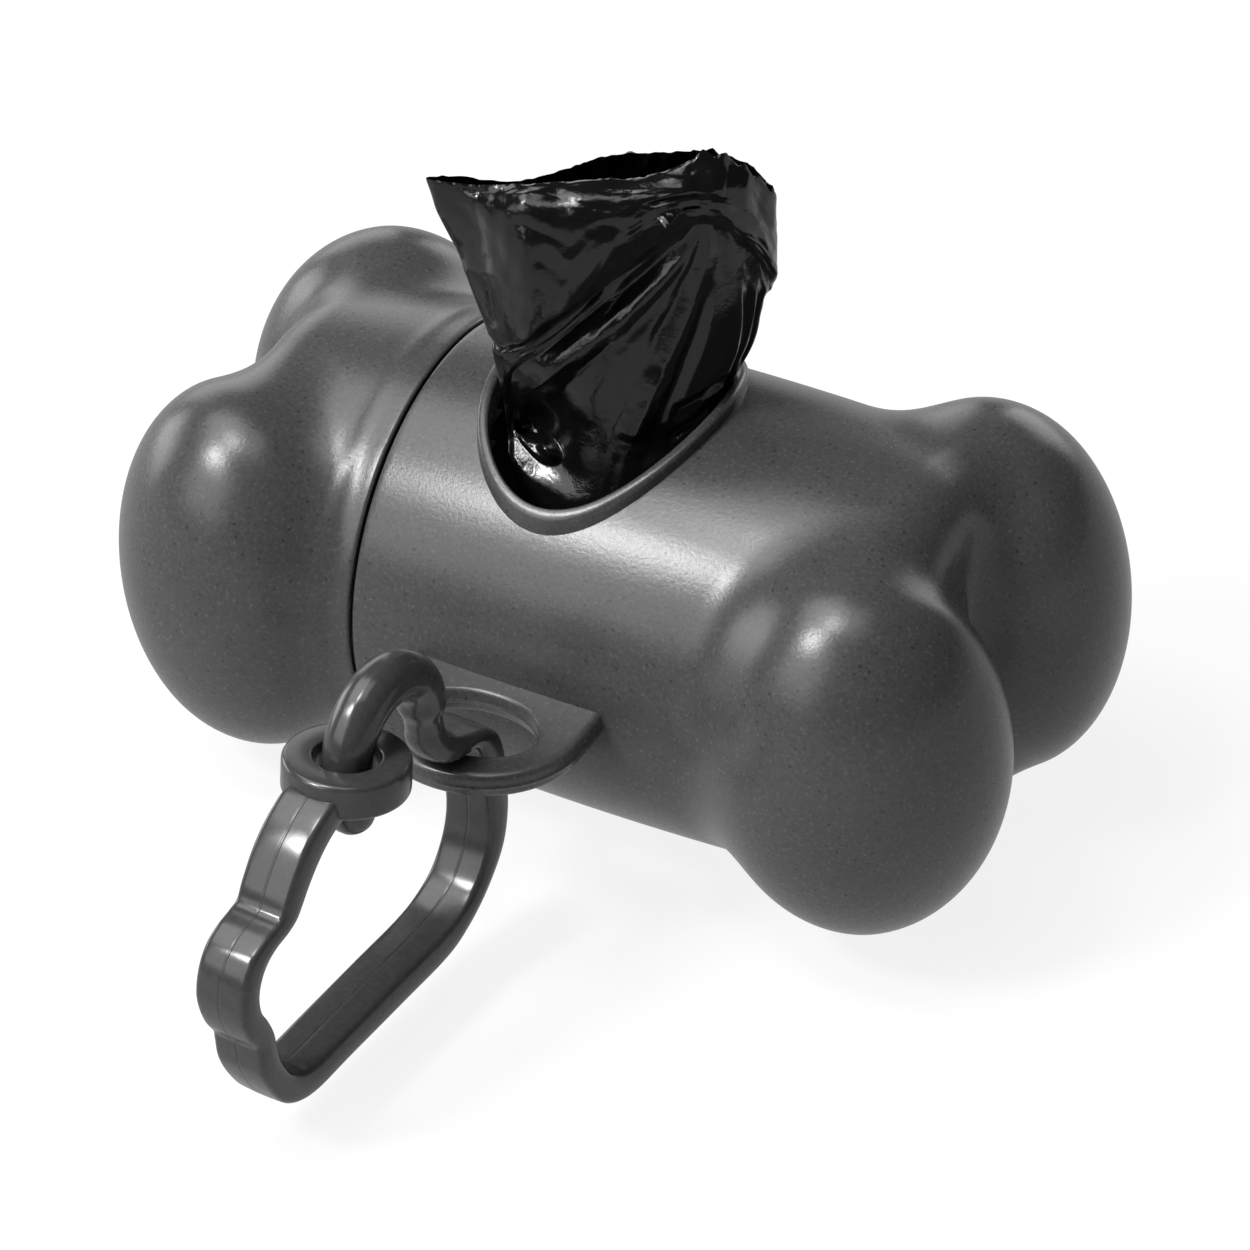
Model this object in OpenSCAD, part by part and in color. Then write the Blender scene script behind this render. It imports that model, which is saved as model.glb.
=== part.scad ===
// Bone-shaped dispenser for rolls of pick-up bags.
// +X runs along the barrel from the cap to the body, -Y is the tab side, +Z is the mouth side.
// The origin is on the barrel's axis, midway between the two ends.

/* [Barrel] */
// Outer radius of the barrel at its middle
barrel_r = 21; // [20:0.25:23]
// Half length of the barrel under the lobes
barrel_half = 35.3; // [33:0.5:37]
// Radius that rounds the barrel's hidden ends
barrel_edge = 5.6; // [4:0.2:7]
// Radius that the barrel loses 30 mm away from its middle
barrel_crown = 1.24; // [0:0.1:2]
// Radius that the barrel gains 30 mm towards the body end
barrel_flare = 0.63; // [0:0.1:1]
// Thickness of the moulded wall
wall = 1.6; // [1.2:0.1:2.2]

/* [Lobes] */
// Distance from the middle to a lobe's centre, along the barrel
lobe_x = 31.2; // [29:0.2:34]
// Distance from the middle to a lobe's centre, across the barrel
lobe_y = 12.9; // [12:0.1:14]
// Height of the lobes' centres over the barrel's axis
lobe_z = 0.1; // [-0.5:0.1:0.5]
// Half length of a lobe
lobe_a = 13.6; // [12.5:0.2:15]
// Half width of a lobe
lobe_b = 12.1; // [11:0.1:13]
// Half height of a lobe
lobe_c = 18.8; // [17.5:0.1:19.5]
// Turn of each lobe about the vertical
lobe_turn = -27; // [-35:1:-15]
// Radius that blends the lobes into the barrel
blend = 3.3; // [2:0.1:5]

/* [Joint between cap and body] */
// Place of the seam along the barrel
seam_x = -16.6; // [-18:0.2:-15]
// Outer radius of the neck
neck_r = 17.95; // [17.2:0.05:18.1]
// Wall of the neck
neck_wall = 1.4; // [1:0.1:1.8]
// Length of the neck past the seam
neck_len = 8; // [6:0.5:9]
// Radial clearance of the neck in the cap
neck_fit = 0.05; // [0.02:0.01:0.1]
// Bevel round the meeting edges
seam_bevel = 0.4; // [0.2:0.1:0.6]

/* [Mouth] */
// Place of the mouth's centre along the barrel
mouth_x = 0.3; // [-1:0.1:1]
// Half length of the opening along the barrel
mouth_a = 10.2; // [9:0.1:11]
// Half width of the opening across the barrel
mouth_b = 13.5; // [12.5:0.1:14]
// Width of the rim's wall
rim_wall = 1.4; // [1:0.1:1.8]
// Height of the rim over the barrel
rim_rise = 0.9; // [0.5:0.1:1.4]

/* [Hanger tab] */
// Width of the tab
tab_w = 20; // [18:0.5:22]
// Reach of the tab from the barrel's axis
tab_reach = 34.2; // [33:0.2:36]
// Length of the tab's rounded front
tab_round = 8.7; // [7:0.1:10]
// Thickness of the tab
tab_t = 2.5; // [2:0.1:3]
// Height of the tab's underside
tab_z = 0; // [-1:0.1:1]
// Radius that rounds the tab's edges
tab_edge = 1; // [0.6:0.1:1.2]
// Half length of the eye
eye_a = 6.5; // [6:0.1:7]
// Half width of the eye
eye_b = 4.2; // [3.9:0.1:4.6]
// Width that the eye loses at half depth
eye_draft = 0.35; // [0.1:0.05:0.5]
// Distance from the barrel's axis to the eye's centre
eye_y = 26.8; // [26.2:0.1:27.2]

/* [Bag roll] */
// Outer radius of the wound bags
roll_r = 15.5; // [13:0.25:16]
// Length of the roll
roll_len = 58; // [50:1:60]
// Radius of the hole in the roll, which the core fills
core_r = 7.5; // [6:0.25:9]
// Wall of the core
core_wall = 1; // [0.6:0.1:1.5]
// Running gap of the roll over the case's floor
roll_gap = 0.3; // [0.3:0.05:0.6]

/* [Leading bag] */
// Height of the bag's top over the barrel's axis
bag_top = 46.5; // [40:0.5:50]
// Width of the tuft at its top
bag_width = 30; // [24:0.5:31]
// Reach of the flap that folds over towards the tab
bag_depth = 8.4; // [6:0.2:9]
// Turn of the film about the vertical
bag_turn = 31.7; // [20:0.1:40]

/* [Clip] */
// Width of the strap
strap_w = 5.4; // [4.5:0.1:5.8]
// Turn of the clip about the vertical
clip_turn = -5; // [-8:1:0]
// Gap between the clip's heel and the tab
heel_gap = 0.55; // [0.55:0.05:0.8]
// Outer radius of the ring
ring_r = 5.7; // [5.2:0.1:6.2]
// Radius of the ring's hole
ring_bore = 3; // [2.9:0.05:3.3]
// Thickness of the ring
ring_t = 3.4; // [3:0.1:4]
// Radius of the hook's rod
hook_r = 2.25; // [2:0.05:2.4]
// Radius of the hook's tip
hook_tip_r = 2.15; // [1.9:0.05:2.3]
// Radius of the hook's neck
hook_neck_r = 1.75; // [1.5:0.05:1.9]
// Distance from the neck's bend to the ring's axis
hook_reach = 11.3; // [11:0.1:11.6]
// Angle that the hook opens through
hook_open = 50; // [40:5:55]
// Clearance in the neck's bend
bend_fit = 0.05; // [0.02:0.01:0.1]

/* [Hidden] */
plastic = "#4d4d4d";
film = "#1c1c1c";
card = "#b09a78";
$fn = 96;
around = 48;           // facets round the case
solve_steps = 15;      // halvings when a ray meets the surface
ray_near = 1;          // the rays' shortest and longest lengths
ray_far = 34;
lobe_belly = 2.03;     // roundness of a lobe from top to bottom
lobe_plan = 1.925;     // roundness of a lobe seen from above
profile_span = 30;     // length over which crown and flare are given
end_span = lobe_x;     // the rays fan out past here
sliver = 0.01;         // extra depth of a cut

// ---- The case's surface: a rounded barrel and four lobes, blended where they meet ----

function smooth_min(a, b, k) =
    let (h = min(max(0.5 + 0.5 * (b - a) / k, 0), 1)) b * (1 - h) + a * h - k * h * (1 - h);

function barrel_r_at(x) =
    barrel_r + barrel_flare * x / profile_span - barrel_crown * pow(x / profile_span, 2);

function barrel_field(x, across) =
    let (dx = abs(x) - barrel_half + barrel_edge, dr = across - barrel_r_at(x) + barrel_edge)
    min(max(dx, dr), 0) + norm([max(dx, 0), max(dr, 0)]) - barrel_edge;

function lobe_field(p) =
    let (
        x = abs(p.x) - lobe_x, y = abs(p.y) - lobe_y,
        u = abs(x * cos(lobe_turn) + y * sin(lobe_turn)) / lobe_a,
        v = abs(y * cos(lobe_turn) - x * sin(lobe_turn)) / lobe_b,
        w = abs(p.z - lobe_z) / lobe_c,
        plan = pow(pow(u, lobe_plan) + pow(v, lobe_plan), 1 / lobe_plan)
    )
    (pow(pow(plan, lobe_belly) + pow(w, lobe_belly), 1 / lobe_belly) - 1) * min(lobe_a, lobe_b);

function bone_field(p) = smooth_min(barrel_field(p.x, norm([p.y, p.z])), lobe_field(p), blend);

// Length of a ray from the axis to the surface that lies depth inside the case
function ray_length(from, along, depth, near = ray_near, far = ray_far, n = solve_steps) =
    n == 0 ? (near + far) / 2
    : let (mid = (near + far) / 2)
      bone_field(from + along * mid) < -depth
        ? ray_length(from, along, depth, mid, far, n - 1)
        : ray_length(from, along, depth, near, mid, n - 1);

// One ring of points: rays leave [at, 0, 0], leaning lean degrees from the axis towards the end
function ring_points(at, lean, side, depth, inset = 0) = [
    for (i = [0 : around - 1])
        let (
            turn = 360 * i / around,
            along = [side * cos(lean), sin(lean) * cos(turn), sin(lean) * sin(turn)],
            from = [at, 0, 0]
        )
        from + along * (ray_length(from, along, depth) - inset)
];

// Rings from the seam to one end: [place on the axis, lean, inset]
function shell_rings(side, straight, fan) = concat(
    [[seam_x, 90, seam_bevel]],
    [[seam_x + side * seam_bevel, 90, 0]],
    [for (i = [1 : straight]) [seam_x + (side * end_span - seam_x) * i / straight, 90, 0]],
    [for (i = [1 : fan]) [side * end_span, 90 * (1 - i / (fan + 0.6)), 0]]
);

// The closed wall of one half of the case, from the seam to the end on the given side
module half_shell(side, straight, fan) {
    rings = shell_rings(side, straight, fan);
    count = len(rings);
    outer = [for (r = rings) each ring_points(r[0], r[1], side, 0, r[2])];
    inner = [for (r = rings) each ring_points(r[0], r[1], side, wall)];
    tips = [for (depth = [0, wall])
        [side * (end_span + ray_length([side * end_span, 0, 0], [side, 0, 0], depth)), 0, 0]];
    inner_start = count * around;
    outer_tip = 2 * count * around;
    last = (count - 1) * around;
    skin = concat(
        [for (j = [0 : count - 2], i = [0 : around - 1])
            let (a = j * around + i, b = j * around + (i + 1) % around)
            each [[a, b, b + around], [a, b + around, a + around]]],
        [for (i = [0 : around - 1]) [last + i, last + (i + 1) % around, outer_tip]],
        [for (j = [0 : count - 2], i = [0 : around - 1])
            let (a = inner_start + j * around + i, b = inner_start + j * around + (i + 1) % around)
            each [[a, b + around, b], [a, a + around, b + around]]],
        [for (i = [0 : around - 1])
            [inner_start + last + i, outer_tip + 1, inner_start + last + (i + 1) % around]],
        [for (i = [0 : around - 1])
            let (k = (i + 1) % around)
            each [[i, inner_start + i, inner_start + k], [i, inner_start + k, k]]]
    );
    polyhedron(
        points = concat(outer, inner, tips),
        faces = side > 0 ? [for (f = skin) [f[2], f[1], f[0]]] : skin
    );
}

// ---- Helpers ----

module along_x(x, length, r) {
    translate([x, 0, 0]) rotate([0, 90, 0]) cylinder(h = length, r = r);
}

module tube_x(x, length, r, bore) {
    translate([x, 0, 0]) rotate([0, 90, 0])
        rotate_extrude() translate([bore, 0]) square([r - bore, length]);
}

function oval(a, b, n = 72) = [for (i = [0 : n - 1]) [a * cos(360 * i / n), b * sin(360 * i / n)]];

// Rounds each corner [x, y, radius] of an outline
function rounded(corners, steps = 7) = [
    for (i = [0 : len(corners) - 1])
        let (
            n = len(corners),
            c = [corners[i].x, corners[i].y],
            before = [corners[(i + n - 1) % n].x, corners[(i + n - 1) % n].y] - c,
            after = [corners[(i + 1) % n].x, corners[(i + 1) % n].y] - c,
            u = before / norm(before),
            v = after / norm(after),
            half = acos(max(-1, min(1, u * v))) / 2,
            r = corners[i].z,
            centre = c + (u + v) / norm(u + v) * r / sin(half),
            start = c + u * r / tan(half) - centre,
            turn = (u.x * v.y - u.y * v.x > 0 ? -1 : 1) * (180 - 2 * half)
        )
        each r == 0 ? [c] : [
            for (k = [0 : steps])
                let (a = turn * k / steps)
                centre + [start.x * cos(a) - start.y * sin(a), start.x * sin(a) + start.y * cos(a)]
        ]
];

// ---- Case ----

module mouth_rim() {
    intersection() {
        translate([mouth_x, 0, 0]) linear_extrude(barrel_r * 2)
            polygon(oval(mouth_a + rim_wall, mouth_b + rim_wall));
        tube_x(mouth_x - mouth_a * 2, mouth_a * 4, barrel_r + rim_rise, barrel_r - wall / 2);
    }
}

function tab_outline(inset) =
    let (straight = tab_reach - tab_round, half = tab_w / 2 - inset)
    concat(
        [[-half, 0]],
        [for (i = [0 : 36]) [-cos(5 * i) * half, -straight - (tab_round - inset) * sin(5 * i)]],
        [[half, 0]]
    );

module hanger_tab() {
    mid = tab_z + tab_t / 2;
    small = [eye_a - eye_draft, eye_b - eye_draft];
    difference() {
        hull() for (a = [0, 30, 60, 90]) {
            lift = tab_t / 2 - tab_edge * (1 - sin(a));
            translate([0, 0, mid - lift]) linear_extrude(lift * 2)
                polygon(tab_outline(tab_edge * (1 - cos(a))));
        }
        for (up = [0, 1]) translate([0, -eye_y, mid]) mirror([0, 0, up])
            linear_extrude(tab_t / 2 + sliver, slices = 1, scale = [eye_a / small.x, eye_b / small.y])
            polygon(oval(small.x, small.y));
        along_x(-tab_w, tab_w * 2, barrel_r - wall / 2);
    }
}

module body_shell() {
    color(plastic) difference() {
        union() {
            half_shell(1, 9, 13);
            tube_x(seam_x - neck_len, neck_len + wall, neck_r, neck_r - neck_wall);
            tube_x(seam_x + seam_bevel, wall * 2, barrel_r_at(seam_x) - wall / 2, neck_r - neck_wall);
            mouth_rim();
            hanger_tab();
        }
        translate([mouth_x, 0, 0]) linear_extrude(barrel_r * 2) polygon(oval(mouth_a, mouth_b));
    }
}

module end_cap() {
    socket = neck_r + neck_fit;
    color(plastic) difference() {
        union() {
            half_shell(-1, 4, 13);
            tube_x(seam_x - neck_len - wall, neck_len + wall - seam_bevel,
                barrel_r_at(seam_x) - wall / 2, socket - wall / 2);
        }
        along_x(seam_x - neck_len - wall, neck_len + wall * 2, socket);
    }
}

// ---- Bags ----

roll_z = roll_r + roll_gap - (neck_r - neck_wall);   // the roll lies on the neck's wall

module bag_roll() {
    color(film) translate([0, 0, roll_z]) tube_x(-roll_len / 2, roll_len, roll_r, core_r);
}

module roll_core() {
    color(card) translate([0, 0, roll_z]) tube_x(-roll_len / 2, roll_len, core_r, core_r - core_wall);
}

// Rings round the film, from the roll up to the torn edge. The first four values are the reach
// to the left, to the right (shares of half bag_width), to the front and to the back (shares of
// bag_depth). The last four are the heights there: -1 at the roll, 0 at the rim, 1 at the top.
film_rings = [
    [0.45, 0.5, 0.7, 0.4, -1, -1, -1, -1],
    [0.62, 0.65, 0.92, 0.55, -0.1, -0.1, -0.35, -0.1],
    [0.68, 0.84, 0.76, 0.57, 0.2, 0.15, 0.33, 0.08],
    [0.68, 0.95, 0.6, 0.58, 0.25, 0.4, 0.68, 0.25],
    [0.71, 1.01, 1, 0.68, 0.34, 0.6, 0.8, 0.4],
    [0.83, 1.02, 0.9, 0.7, 0.6, 0.7, 0.92, 0.55],
    [1, 1.03, 0.42, 0.5, 0.96, 0.85, 1, 0.88]
];

// The gathered film stands up out of the mouth, spreads like a fan and folds over at its front
module lead_bag() {
    rim_z = barrel_r + rim_rise;
    roll_top = roll_z + roll_r + roll_gap;
    sides = 24;
    points = [for (r = film_rings, i = [0 : sides - 1])
        let (
            a = 360 * i / sides,
            across = cos(a) * bag_width / 2 * (cos(a) < 0 ? r[0] : r[1]),
            front = sin(a) * bag_depth * (sin(a) > 0 ? r[2] : r[3]),
            high = pow(cos(a), 2) * (cos(a) < 0 ? r[4] : r[5]) + pow(sin(a), 2) * (sin(a) > 0 ? r[6] : r[7])
        )
        [
            mouth_x + across * cos(bag_turn) + front * sin(bag_turn),
            across * sin(bag_turn) - front * cos(bag_turn),
            rim_z + high * (high > 0 ? bag_top - rim_z : rim_z - roll_top)
        ]];
    top = (len(film_rings) - 1) * sides;
    ends = [for (first = [0, top])
        let (ring = [for (i = [0 : sides - 1]) points[first + i]])
        [for (p = ring) 1] * ring / sides];
    color(film) polyhedron(
        points = concat(points, ends),
        faces = concat(
            [for (i = [0 : sides - 1]) [i, len(points), (i + 1) % sides]],
            [for (j = [0 : len(film_rings) - 2], i = [0 : sides - 1])
                let (a = j * sides + i, b = j * sides + (i + 1) % sides)
                each [[a, b, b + sides], [a, b + sides, a + sides]]],
            [for (i = [0 : sides - 1]) [top + i, top + (i + 1) % sides, len(points) + 1]]
        )
    );
}

// ---- Clip ----
// Its outline lies in a plane through the tab's eye: first value towards the barrel, second up.

// The clip hangs on the inner edge of the bar in front of the eye and swings about it.
hang_in = 0.3;                          // depth of the swing's axis inside the bar
hang_down = 0.6;                        // and under the tab's top
heel_z = hang_down + heel_gap;          // underside of the heel over the bar
clip_pivot = [0, -eye_y - eye_b - hang_in, tab_z + tab_t - hang_down];
bend = [-2.9, 6.45];                    // the neck's bend
neck_foot = 4;                          // length of the rod under the bend
relief_lean = 86 - hook_open;           // the relief's face, just past the opened neck
ring_tilt = 10;                         // lean of the ring's axis towards the barrel
hook_start = 160;                       // where the hook's tip starts to circle round the bend
hook_end = 200;                         // where it ends
ring_mid = bend + hook_reach * [-cos(ring_tilt), sin(ring_tilt)];
over_r = -hook_reach * cos(hook_start) / (1 - cos(hook_start));
over_c = bend + [-over_r, (hook_reach - over_r) * sin(hook_start)];

// Stands the clip's plane upright and turns it
module in_clip_plane() {
    translate(clip_pivot) rotate([0, 0, clip_turn]) rotate([90, 0, 90]) children();
}

strap_outline = [
    [-17.4, 9.7, 0], [-22.1, 8.9, 5], [-27.5, 2.6, 1.5], [-33.5, 1.7, 4.5], [-35.2, -5.3, 6],
    [-32.2, -8.7, 0.8], [-33.1, -18.7, 7], [-1.9, -18.1, 8], [5.2, -11.2, 6], [5.2, 3, 5],
    [-1.2, 3.9, 0], [-4.6, 3.9, 0], [-4.6, 2.9, 1.2], [-2.4, heel_z, 1.5], [2.2, heel_z, 1.1],
    [2.2, -9.3, 5], [-1.4, -15.1, 5], [-29.5, -15.6, 4], [-29.9, -7.3, 1], [-31.9, -5.2, 3],
    [-31.5, 0.4, 3.5], [-26.3, 0.6, 1.5], [-20.7, 6.2, 4], [-17.4, 6.7, 0]
];

module clip_loop() {
    color(plastic) in_clip_plane() difference() {
        union() {
            translate([0, 0, -strap_w / 2]) linear_extrude(strap_w) polygon(rounded(strap_outline));
            translate([ring_mid.x, ring_mid.y, 0]) rotate([0, 0, -ring_tilt]) rotate([90, 0, 0])
                cylinder(h = ring_t, r = ring_r, center = true);
            translate([bend.x, bend.y - neck_foot, 0]) rotate([-90, 0, 0])
                cylinder(h = neck_foot, r = hook_neck_r);
        }
        translate([ring_mid.x, ring_mid.y, 0]) rotate([0, 0, -ring_tilt]) rotate([90, 0, 0])
            cylinder(h = ring_t * 4, r = ring_bore, center = true);
        translate([bend.x, bend.y, 0]) sphere(r = hook_neck_r + bend_fit);
        // Relief that the neck bends into
        translate([bend.x, bend.y, 0]) rotate([0, 0, relief_lean])
            translate([0, -hook_neck_r - bend_fit, -strap_w])
            cube([hook_neck_r * 3, hook_neck_r * 2, strap_w * 2]);
    }
}

// Stations along the hook: [centre, outward direction, radius]
hook_stations = concat(
    [for (k = [5 : -1 : 1]) [bend - [0, hook_neck_r * sin(18 * k - 1)], [1, 0], hook_neck_r * cos(18 * k - 1)]],
    [for (k = [0 : 2])
        [bend + [0, (over_c.y - bend.y) * k / 3], [1, 0], hook_neck_r + (hook_r - hook_neck_r) * k / 3]],
    [for (k = [0 : 16]) let (a = hook_start * k / 16, out = [cos(a), sin(a)]) [over_c + over_r * out, out, hook_r]],
    [for (k = [1 : 6])
        let (a = hook_start + (hook_end - hook_start) * k / 6, out = [cos(a), sin(a)])
        [bend + hook_reach * out, out, hook_r + (hook_tip_r - hook_r) * k / 6]],
    [for (k = [1 : 5])
        let (out = [cos(hook_end), sin(hook_end)], ahead = [-out.y, out.x])
        [bend + hook_reach * out + ahead * hook_tip_r * sin(18 * k - 1), out, hook_tip_r * cos(18 * k - 1)]]
);

// The hook bends over from its neck and runs down through the ring
module clip_hook() {
    sides = 24;
    rings = len(hook_stations);
    color(plastic) in_clip_plane() polyhedron(
        points = [for (s = hook_stations, i = [0 : sides - 1])
            let (a = 360 * i / sides, p = s[0] + s[1] * s[2] * cos(a)) [p.x, p.y, s[2] * sin(a)]],
        faces = concat(
            [[for (i = [0 : sides - 1]) i]],
            [for (j = [0 : rings - 2], i = [0 : sides - 1])
                let (a = j * sides + i, b = j * sides + (i + 1) % sides)
                each [[a, b + sides, b], [a, a + sides, b + sides]]],
            [[for (i = [sides - 1 : -1 : 0]) (rings - 1) * sides + i]]
        )
    );
}

body_shell();
end_cap();
bag_roll();
roll_core();
lead_bag();
clip_loop();
clip_hook();
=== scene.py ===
import math
import bpy
import numpy as np
from mathutils import Matrix, Vector


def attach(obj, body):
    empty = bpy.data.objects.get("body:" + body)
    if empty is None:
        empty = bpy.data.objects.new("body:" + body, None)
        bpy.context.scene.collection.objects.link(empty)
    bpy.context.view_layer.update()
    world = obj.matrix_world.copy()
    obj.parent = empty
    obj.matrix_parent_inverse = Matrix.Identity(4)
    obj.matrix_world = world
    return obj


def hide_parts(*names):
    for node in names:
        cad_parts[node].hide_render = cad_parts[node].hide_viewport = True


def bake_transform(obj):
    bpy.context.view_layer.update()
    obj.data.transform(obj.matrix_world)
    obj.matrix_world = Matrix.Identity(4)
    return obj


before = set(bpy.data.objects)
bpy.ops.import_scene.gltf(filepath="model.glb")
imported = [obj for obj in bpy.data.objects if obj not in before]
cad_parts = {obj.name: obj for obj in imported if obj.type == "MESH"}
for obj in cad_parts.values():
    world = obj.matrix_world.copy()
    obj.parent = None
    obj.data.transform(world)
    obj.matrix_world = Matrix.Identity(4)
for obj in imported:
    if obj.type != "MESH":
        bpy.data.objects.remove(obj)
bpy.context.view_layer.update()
MM = 0.001
Z_AXIS = np.array((0, 0, 1.0))

# ---------------------------------------------------------------- camera

# The camera was fitted to the case's outline in the photograph. Lengths are in millimetres.
PHOTO_SIZE = 1250                               # the photograph's width and height, in pixels
FOCAL = 7802.206                                # in the photograph's pixels
SENSOR = 36
BACK = np.array((0.41055, -0.66419, 0.62474))   # from the object towards the camera
RIGHT = np.array((0.87101, 0.48838, -0.05317))
UP = np.array((-0.26980, 0.56598, 0.77902))
CAMERA_AWAY, CAMERA_RIGHT, CAMERA_DOWN = 707.998, 0.2672, 4.6796
EYE = BACK * CAMERA_AWAY + RIGHT * CAMERA_RIGHT - UP * CAMERA_DOWN


def camera():
    data = bpy.data.cameras.new("camera")
    data.sensor_width = SENSOR
    data.lens = FOCAL / PHOTO_SIZE * SENSOR
    data.clip_start = 0.01
    data.clip_end = 20
    cam = bpy.data.objects.new("camera", data)
    bpy.context.scene.collection.objects.link(cam)
    place = EYE * MM
    cam.matrix_world = Matrix((
        (RIGHT[0], UP[0], BACK[0], place[0]),
        (RIGHT[1], UP[1], BACK[1], place[1]),
        (RIGHT[2], UP[2], BACK[2], place[2]),
        (0, 0, 0, 1)))
    bpy.context.scene.camera = cam


camera()

# ---------------------------------------------------------------- sizes, in millimetres

BARREL_R, BARREL_HALF, EDGE, CROWN, FLARE, WALL = 21.0, 35.3, 5.6, 1.24, 0.63, 1.6
SPAN = 30.0                                     # the distance along the barrel that CROWN and FLARE are for
LOBE = dict(x=31.2, y=12.9, z=0.1, a=13.6, b=12.1, c=18.8, turn=math.radians(-27), belly=2.03, plan=1.925)
BLEND = 3.3
SEAM_X, SEAM_GAP, SEAM_BEVEL = -16.6, 0.14, 0.35
COLLAR_AT, COLLAR_WIDE, COLLAR_HIGH = 3.1, 0.7, 0.1     # the faint raised line round the cap, beside the seam
NECK_R, NECK_WALL, NECK_LEN, NECK_ROOT, NECK_FILLET = 17.95, 1.4, 8.0, 1.6, 0.35
SOCKET_PAST, SOCKET_BACK, SOCKET_FIT, SOCKET_R, SOCKET_FILLET = 1.6, 0.5, 0.06, BARREL_R - 1.8, 0.2
MOUTH_X, MOUTH_A, MOUTH_B = 0.3, 10.2, 13.5
MOUTH_CUT = 0.55                                # the skin ends this far outside the mouth, under the rim
TAB_W, TAB_REACH, TAB_ROUND, TAB_T, TAB_ROOT, TAB_FLARE = 20.0, 34.2, 8.7, 2.5, 19.0, 0.4
EYE_A, EYE_B, EYE_Y = 6.5, 4.2, 26.8
ROLL_R, ROLL_LEN, CORE_R, CORE_WALL, ROLL_Z = 15.5, 58.0, 7.5, 1, -0.75
LAYER_STEP, LAYER_GAP = 0.18, 0.05              # the wound layers at the roll's ends
PIVOT = np.array((0.0, -31.3, 1.9))             # where the clip swings in the tab's eye
TURN = math.radians(5)
STRAP_W, CORNER_R, FACE_CROWN, SIDE_CROWN = 5.4, 0.62, 0.07, 0.08
ROUND_FROM, ROUND_SPAN = 5.2, 1.4               # the strap becomes round as its width falls below this
BEND = np.array((-2.9, 6.45))                   # where the hook bends off the strap
HOOK_REACH, HOOK_R, HOOK_SWELL, NECK_ROD, TIP_R = 11.3, 2.25, 0.1, 1.75, 2.15
FLEX_FROM, FLEX_SPAN = 4.6, 2.4                 # the hook's neck flexes from this height, over this span
RING_R, RING_BORE, RING_HALF_T, RING_EDGE, BORE_EDGE = 5.7, 3.0, 1.7, 0.55, 0.25
RING_TILT = math.radians(10)
RING_MID = BEND + HOOK_REACH * np.array((-math.cos(RING_TILT), math.sin(RING_TILT)))
AROUND = 288                                    # points round the case and the mouth's rim

W_AXIS = np.array((math.cos(TURN), -math.sin(TURN), 0.0))
Y_AXIS = np.array((math.sin(TURN), math.cos(TURN), 0.0))


def in_plane(y, z, w=0.0):
    """A point of the clip's upright plane, in the frame, in millimetres."""
    y, z, w = np.broadcast_arrays(np.asarray(y, float), np.asarray(z, float), np.asarray(w, float))
    return PIVOT + y[..., None] * Y_AXIS + z[..., None] * Z_AXIS + w[..., None] * W_AXIS


def round_angles(count):
    return 2 * np.pi * np.arange(count) / count


def toward(turn, height):
    """The direction turn degrees round from the front and height degrees up."""
    turn, height = math.radians(turn), math.radians(height)
    return np.array((math.sin(turn) * math.cos(height), -math.cos(turn) * math.cos(height), math.sin(height)))


# ---------------------------------------------------------------- the case's surface

def barrel_radius(x):
    return BARREL_R + FLARE * x / SPAN - CROWN * (x / SPAN) ** 2


def case_field(p):
    """Below 0 inside the case's outer surface, by the same formula as in part.scad."""
    x, y, z = p[..., 0], p[..., 1], p[..., 2]
    dx = np.abs(x) - BARREL_HALF + EDGE
    dr = np.hypot(y, z) - barrel_radius(x) + EDGE
    barrel = np.minimum(np.maximum(dx, dr), 0) + np.hypot(np.maximum(dx, 0), np.maximum(dr, 0)) - EDGE
    lx, ly = np.abs(x) - LOBE["x"], np.abs(y) - LOBE["y"]
    c, s = math.cos(LOBE["turn"]), math.sin(LOBE["turn"])
    u = np.abs(lx * c + ly * s) / LOBE["a"]
    v = np.abs(ly * c - lx * s) / LOBE["b"]
    w = np.abs(z - LOBE["z"]) / LOBE["c"]
    plan = (u ** LOBE["plan"] + v ** LOBE["plan"]) ** (1 / LOBE["plan"])
    swell = (plan ** LOBE["belly"] + w ** LOBE["belly"]) ** (1 / LOBE["belly"])
    lobe = (swell - 1) * min(LOBE["a"], LOBE["b"])
    h = np.clip(0.5 + 0.5 * (lobe - barrel) / BLEND, 0, 1)
    return lobe * (1 - h) + barrel * h - BLEND * h * (1 - h)


def ray_length(origin, along, depth, near=1.0, far=36.0, halvings=26):
    """How far each direction runs from origin to where the field is -depth."""
    lo = np.full(along.shape[:-1], near)
    hi = np.full(along.shape[:-1], far)
    for _ in range(halvings):
        mid = (lo + hi) / 2
        inside = case_field(origin + along * mid[..., None]) < -depth
        lo = np.where(inside, mid, lo)
        hi = np.where(inside, hi, mid)
    return (lo + hi) / 2


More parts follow.
